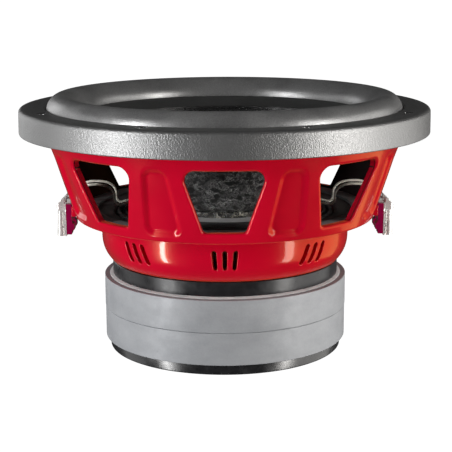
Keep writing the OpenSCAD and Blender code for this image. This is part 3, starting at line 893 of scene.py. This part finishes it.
def surround_line():
    """The middle of the surround's sheet: its skirt, its roll and its landing on the ledge."""
    a = np.radians(np.linspace(180, 0, 61))
    inner = np.cos(a) < 0
    foot = np.where(inner, 183, 185.3)
    roll = np.stack([ROLL_MIDDLE + np.where(inner, ROLL_IN, ROLL_OUT) * np.cos(a),
                     foot + (ROLL_TOP - ROLL_T / 2 - foot) * np.sin(a)], 1)
    skirt = along([[96.8, 176.0], [106.3, 180.9]], np.linspace(0, 1, 9))
    landing = [[136.5, 184.65], [137.1, LEDGE_Z + 0.92], [140.8, LEDGE_Z + 0.92]]
    return np.concatenate([skirt, roll, landing])


surround_shell = turned(sheet(surround_line(), ROLL_T))
surround = piece("roll_surround", surround_shell, "surround_rubber", "surround", body=None, sharp=60)
blend_by_radius(surround, 136, 109)
second_look(surround, SKIRT_RUBBER, within(SKIRT_R))

SPIDER_T, SPIDER_Z, SPIDER_WAVE, SPIDER_WAVES = 0.8, 106.5, 2.0, 8
WAVES_R, WAVES_W = 47, 39.4
# Nearer the axis than the first number below, in millimetres, the spider is painted pale as painted light.
LIT_SPIDER_R, SPIDER_COLUMNS = 60, 240


def spider_line():
    """The middle of the spider's sheet: its corrugations, and its flat rim on the basket's shelf."""
    s = np.linspace(0, 1, SPIDER_WAVES * 14 + 1)
    waves = np.stack([WAVES_R + WAVES_W * s, SPIDER_Z + SPIDER_WAVE * np.sin(s * 2 * math.pi * SPIDER_WAVES)], 1)
    rim_z = SHELF_TOP + 0.6
    return np.concatenate([[[46.05, SPIDER_Z]], waves, [[88.6, rim_z], [110.9, rim_z]]])


spider_shell = turned(sheet(spider_line(), SPIDER_T), SPIDER_COLUMNS)
spider = piece("spider_disc", spider_shell, "spider_cloth", "spider", body=None, sharp=60)
blend_by_radius(spider, 86.4, 47)
# The spider's inner part gets the painted light.
second_look(spider, LIT_SPIDER_CLOTH, within(LIT_SPIDER_R))
rim_ring = rounded([[99, RING_LOW], [RING_R, RING_LOW], [RING_R, RING_TOP], [99, RING_TOP]], [0.1, 0.3, 0.5, 0.5])
piece("spider_rim_ring", turned(rim_ring), "card", "spider_ring")


# ---- Cone and dust cap ----


def crumple(p, size, depth, seed):
    """Creases like those of pressed pulp: sharp ridges of several sizes."""
    total = np.zeros(len(p))
    for k in range(3):
        total += (1 - np.abs(hash_noise(p, size / 1.9**k, seed + k)) * 2) * depth / 1.8**k
    return total


CONE_T, CONE_COLUMNS = 1.6, 420
CREASE_SIZE, CREASE_DEPTH, CREASE_SEED = 9, 0.6, 11
DOME_T = 1.2
NECK_Z, CONE_NECK, BREAK_R, BREAK_Z = 113, 45.6, 94.8, 173


def cone_line():
    """The middle of the cone's sheet: its curved wall, and the straight edge that the surround is glued to."""
    s = np.linspace(0, 1, 17)
    wall = np.stack([CONE_NECK + (BREAK_R - CONE_NECK) * s,
                     NECK_Z + 1 + (BREAK_Z - NECK_Z - 1) * (1.12 * s - 0.12 * s * s)], 1)
    edge = along([[BREAK_R, BREAK_Z], [108.5, 180]], np.linspace(0, 1, 6))
    return np.concatenate([wall, edge[1:]])


def cone_shell():
    """The cone, whose back is crumpled."""
    line = cone_line()
    shell = turned(finer(sheet(line, CONE_T), 1.6), CONE_COLUMNS)
    points = shell.points[0]
    r = radius_of(points)
    height = np.interp(r, line[:, 0], line[:, 1])
    behind = (points[:, 2] < height) & (r > line[0, 0] + 2) & (r < line[-1, 0] - 2)
    move = crumple(points[behind], CREASE_SIZE, CREASE_DEPTH, CREASE_SEED)
    radial = points[behind] * [1, 1, 0] / r[behind, None]
    points[behind] += (radial * 0.75 - [0, 0, 0.66]) * move[:, None]
    return shell


def dome_shell():
    """The dust cap: a shallow dome of even thickness."""
    rise = DUST_TOP - DUST_LOW - 0.6
    ball = (DUST_R**2 + rise**2) / (2 * rise)
    a = np.linspace(0, math.asin(DUST_R / ball), 40)
    dome = np.stack([ball * np.sin(a), DUST_TOP - ball + ball * np.cos(a)], 1)
    under = dome * [1 - DOME_T / ball, 1] - [0, DOME_T]
    shell = Shell()
    shell.lathe(np.concatenate([dome, under[::-1]]), np.arange(FULL) * 360 / FULL, wrap=True)
    return shell


cone = piece("pulp_cone", cone_shell(), "pulp", "cone", body="cone", sharp=70)
second_look(cone, PULP_BACK, lambda centres, normals: normals[:, 2] < 0)
piece("dust_dome", dome_shell(), "pulp", "dust_cap", body="cone", sharp=60)


# ---- Motor ----

SEAM = 0.06


def ring(name, node, look, inner, outer, low, high, edge):
    """A plain ring of the motor, with rounded outer edges."""
    outline = rounded([[inner, low], [outer, low], [outer, high], [inner, high]], [0, edge, edge, 0], 5)
    piece(name, turned(outline), look, node)


ring("magnet_front", "magnet_upper", "magnet_paint",
     MAGNET_HOLE, MAGNET_R, MAGNET_MID + SEAM, MAGNET_TOP, 0.55)
ring("magnet_back", "magnet_lower", "magnet_paint",
     MAGNET_HOLE, MAGNET_R - 0.25, BACK_TOP, MAGNET_MID - SEAM, 0.55)
ring("front_plate", "top_plate", "front_steel", 41, PLATE_R, PLATE_LOW, PLATE_TOP, 0.6)
ring("rear_plate", "back_plate", "rear_steel", 30, BACK_R, BACK_LOW, BACK_TOP, 1.0)
bead = rounded([[PLATE_R, SEAL_LOW], [SEAL_R, SEAL_LOW], [(PLATE_R + SEAL_R) / 2, SEAL_LOW + 0.75],
                [PLATE_R, SEAL_TOP]], [0, 0.2, 1.5, 0], 5)
piece("sealant_bead", turned(bead), "sealant", "sealant_ring", sharp=60)
core = rounded([[VENT_R + 4, POLE_LOW], [30, POLE_LOW], [30, BACK_TOP], [44, BACK_TOP], [44, 13], [37.2, 20],
                [37.2, PLATE_TOP + 1], [35.2, POLE_TOP], [VENT_R + 4, POLE_TOP], [VENT_R, PLATE_TOP - 6],
                [VENT_R, 8]], [1.5, 0.3, 0, 0, 1, 2, 0.5, 0.5, 1.5, 4, 4], 6)
piece("pole_core", turned(core), "bare_steel", "pole_piece")


# ---- Carried-over CAD nodes ----


def finish_node(name, look, edge=0.0):
    """Gives a CAD node its material, smooth shading and, where it has sharp edges, a fine bevel."""
    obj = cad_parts[name]
    obj.data.materials.clear()
    obj.data.materials.append(LOOKS[look])
    shade(obj.data, 30)
    if edge:
        bevel = obj.modifiers.new("edge", "BEVEL")
        bevel.width = edge * MM
        bevel.segments = 2
        bevel.limit_method = "ANGLE"
        bevel.angle_limit = math.radians(40)
        bevel.harden_normals = False


PLACES = [f"{side}_{row}" for side in ("left", "right") for row in ("front", "rear")]
for name, look, edge in (
    ("shorting_ring", "aluminium", 0.3),
    ("coil_former", "former_film", 0),
    ("winding_inner", "copper_wire", 0),
    ("winding_outer", "copper_wire", 0),
    ("neck_coupler", "collar_plastic", 0.2),
    ("lead_anchors", "nickel", 0.1),
    ("basket_screws", "screw_steel", 0.2),
    ("block_left", "block_plastic", 0.2),
    ("block_right", "block_plastic", 0.2),
    ("block_screws", "nickel", 0.12),
    ("terminal_nuts", "nickel", 0.15),
):
    finish_node(name, look, edge)
for place in PLACES:
    finish_node(f"post_{place}", "nickel", 0.15)
    finish_node(f"lug_{place}", "nickel", 0.1)
    finish_node(f"push_cap_{place}", "nickel", 0.2)


# ---- Springs and leads ----


def frames_of(path):
    """Two directions across a path, at each of its points, that don't spin about it."""
    ahead = np.gradient(path, axis=0)
    ahead /= np.linalg.norm(ahead, axis=1)[:, None]
    u = np.cross(ahead[0], [0, 0, 1.0])
    if np.linalg.norm(u) < 0.2:
        u = np.cross(ahead[0], [0, 1.0, 0])
    across = []
    for d in ahead:
        u = u - d * (u @ d)
        u /= np.linalg.norm(u)
        across.append((u, np.cross(d, u)))
    return np.array(across).transpose(1, 0, 2)


def tube(path, radius, sides=6):
    """A closed tube along a path, as a patch with capped ends; radius may vary along it."""
    u, v = frames_of(path)
    angles = np.arange(sides)[:, None] * 2 * math.pi / sides
    radius = np.broadcast_to(radius, len(path))[:, None, None]
    rows = path[:, None] + radius * (np.cos(angles) * u[:, None] + np.sin(angles) * v[:, None])
    start, end = np.repeat(path[None, :1], sides, 1), np.repeat(path[None, -1:], sides, 1)
    return np.concatenate([start, rows, end])


def smooth_route(points, step):
    """A smooth curve through the points, sampled every step."""
    p = np.asarray(points, float)
    p = np.concatenate([[2 * p[0] - p[1]], p, [2 * p[-1] - p[-2]]])
    out = []
    for i in range(1, len(p) - 2):
        a, b, c, d = p[i - 1 : i + 3]
        for t in np.linspace(0, 1, 12, endpoint=False):
            out.append(0.5 * (2 * b + (c - a) * t + (2 * a - 5 * b + 4 * c - d) * t**2
                              + (3 * b - a - 3 * c + d) * t**3))
    out.append(p[-2])
    out = np.array(out)
    length = np.linalg.norm(np.diff(out, axis=0), axis=1).sum()
    return along(out, np.linspace(0, 1, int(length / step) + 1))


# The route of a lead on the right, as in the CAD: distance to the side, distance from the middle plane, height
LEAD = [[112.8, 8, 121.6], [112.3, 8, 124.2], [110.2, 8, 126.3], [106.4, 8, 127.5], [101.6, 7.9, 127.8],
        [96.4, 7.8, 127.5], [91.4, 7.7, 126.2], [87.6, 7.6, 123.4], [85.8, 7.5, 119.6], [85.7, 7.4, 115.6],
        [84.6, 7.3, 112.4], [82, 7.2, 111.1], [79, 7.1, 111.8], [76, 7, 112.5], [73, 6.8, 111.6],
        [69, 6.6, 110.8], [63, 6.4, 110.8], [57.5, 6.1, 110.9], [53, 5.8, 111.3], [49.4, 5.6, 111.9]]
LEAD_R, STRAND_R, CORE_R, PLAIT = 1.1, 0.3, 0.55, 6.4
ROUTE_STEP = 0.35
COIL_R, WIRE_R, COIL_TURNS = 1.5, 0.24, 8


def braid(route):
    """A braided lead: four strands each way round, which pass over and under each other on a core."""
    path = smooth_route(route, ROUTE_STEP)
    u, v = frames_of(path)
    turn = np.arange(len(path)) * ROUTE_STEP * 2 * math.pi / PLAIT
    shell = Shell()
    for way in (1, -1):
        for k in range(4):
            angle = (way * turn + k * math.pi / 2)[:, None]
            out = LEAD_R - STRAND_R - 0.13 + way * 0.14 * np.cos(4 * turn)
            strand = path + out[:, None] * (np.cos(angle) * u + np.sin(angle) * v)
            shell.grid(tube(strand, STRAND_R), wrap=True)
    shell.grid(tube(path, CORE_R, 8), wrap=True)
    shell.grid(tube(path[:5], [1.15, 1.3, 1.3, 1.2, 0.9], 10), wrap=True)
    return shell


def spring_shell(x, y, bottom, top):
    """A wire coil that stands on end, with a turn lying flat at each end."""
    t = np.linspace(0, 1, COIL_TURNS * 20 + 1)
    turn = t * COIL_TURNS * 2 * math.pi
    rise = np.clip((t - 0.06) / 0.88, 0, 1)
    coil = np.stack([x + COIL_R * np.cos(turn), y + COIL_R * np.sin(turn), bottom + (top - bottom) * rise], 1)
    shell = Shell()
    shell.grid(tube(coil, WIRE_R), wrap=True)
    return shell


for place in PLACES:
    side = -1 if place.startswith("left") else 1
    row = -1 if place.endswith("front") else 1
    route = [(side * x, row * y, z) for x, y, z in LEAD]
    lead = piece(f"tinsel_{place}", braid(route), "tinsel", f"lead_{place}", body=None, sharp=60)
    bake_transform(lead)
    low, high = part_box(f"spring_{place}")
    x, y = (low.x + high.x) / 2 / MM, (low.y + high.y) / 2 / MM
    bottom, top = low.z / MM + 0.3, high.z / MM - 0.3
    coil = spring_shell(x, y, bottom, top)
    spring = piece(f"coil_spring_{place}", coil, "spring_steel", f"spring_{place}", body=None, sharp=60)
    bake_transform(spring)


# ---- Studio ----

WORLD_LIGHT = 0.045
ROOM_R = 8
LENS, SENSOR, FAR_CLIP = 101.67, 36, 100
CAMERA_AT, CAMERA_TILT, CAMERA_ROLL = (0.0009, -0.9857, 0.3018), 11.974, -0.198

# Each light's place, size, watts, colour, and what it lights. The glints and the warm light fall on the paint
# alone, so that the red turns orange on the right where the greys stay neutral.
LIGHTS = {
    "left_strip": ((-1.33, -0.86, 0.1), (0.15, 1.8), 28, (1, 1, 1), "all"),
    "left_glint": ((-1.37, -0.89, 0.1), (0.09, 1.8), 5, (1, 0.97, 0.88), "paint"),
    "right_strip": ((1.36, -0.8, 0.1), (0.2, 1.8), 22, (1, 0.98, 0.95), "rest"),
    "right_glint": ((1.36, -0.8, 0.1), (0.26, 1.8), 17, (1, 0.95, 0.88), "paint"),
    "right_wall": ((1.6, 0.1, 0.0), (1.8, 1.8), 16, (1, 0.98, 0.95), "rest"),
    "right_warm": ((1.6, 0.1, 0.0), (2.2, 1.8), 22, (1, 0.57, 0.18), "paint"),
    "left_wall": ((-1.5, 0.3, 0.0), (0.9, 1.6), 4, (1, 1, 1), "rest"),
    "back_left": ((-1.2, 1.3, 0.3), (0.8, 1.0), 4, (1, 1, 1), "all"),
}


def add_world(scene):
    """Faint even light from all round."""
    world = bpy.data.worlds.new("studio")
    scene.world = world
    world.use_nodes = True
    background = world.node_tree.nodes["Background"]
    background.inputs["Color"].default_value = (1, 1, 1, 1)
    background.inputs["Strength"].default_value = WORLD_LIGHT


def add_room(scene):
    """A white room round the object, which the camera sees and nothing else does: it gives no light."""
    bm = bmesh.new()
    bmesh.ops.create_uvsphere(bm, u_segments=48, v_segments=24, radius=ROOM_R)
    room = bpy.data.meshes.new("white_room")
    bm.to_mesh(room)
    bm.free()
    white = Look("white_room", Roughness=1.0, Emission_Color=(1, 1, 1), Emission_Strength=1.0)
    room.materials.append(white.material)
    backdrop = bpy.data.objects.new("white_room", room)
    for ray in ("diffuse", "glossy", "transmission", "shadow"):
        setattr(backdrop, f"visible_{ray}", False)
    scene.collection.objects.link(backdrop)


def only(name, state):
    """A light-linking collection: INCLUDE lights the basket alone, and EXCLUDE all but the basket."""
    chosen = bpy.data.collections.new(name)
    chosen.objects.link(basket)
    chosen.collection_objects[0].light_linking.link_state = state
    return chosen


def add_lights(scene):
    """Tall soft boxes, which face the Z axis."""
    receivers = {"all": None, "paint": only("lights_basket", "INCLUDE"), "rest": only("skips_basket", "EXCLUDE")}
    for name, (at, size, power, colour, lit) in LIGHTS.items():
        light = bpy.data.lights.new(name, "AREA")
        light.shape = "RECTANGLE"
        light.size, light.size_y = size
        light.energy = power
        light.color = colour
        lamp = bpy.data.objects.new(name, light)
        lamp.location = at
        aim = Vector((0, 0, at[2])) - Vector(at)
        lamp.rotation_euler = aim.to_track_quat("-Z", "Y").to_euler()
        lamp.light_linking.receiver_collection = receivers[lit]
        scene.collection.objects.link(lamp)


def add_camera(scene):
    """The camera, which looks down at the front by its tilt, with a slight roll."""
    camera = bpy.data.cameras.new("camera")
    camera.lens = LENS
    camera.sensor_width = SENSOR
    camera.clip_end = FAR_CLIP
    holder = bpy.data.objects.new("camera", camera)
    pitch = Matrix.Rotation(math.radians(90 - CAMERA_TILT), 4, "X")
    roll = Matrix.Rotation(math.radians(CAMERA_ROLL), 4, "Z")
    holder.matrix_world = Matrix.Translation(CAMERA_AT) @ pitch @ roll
    scene.collection.objects.link(holder)
    scene.camera = holder


scene = bpy.context.scene
scene.view_settings.view_transform = "Standard"
for add in (add_world, add_room, add_lights, add_camera):
    add(scene)
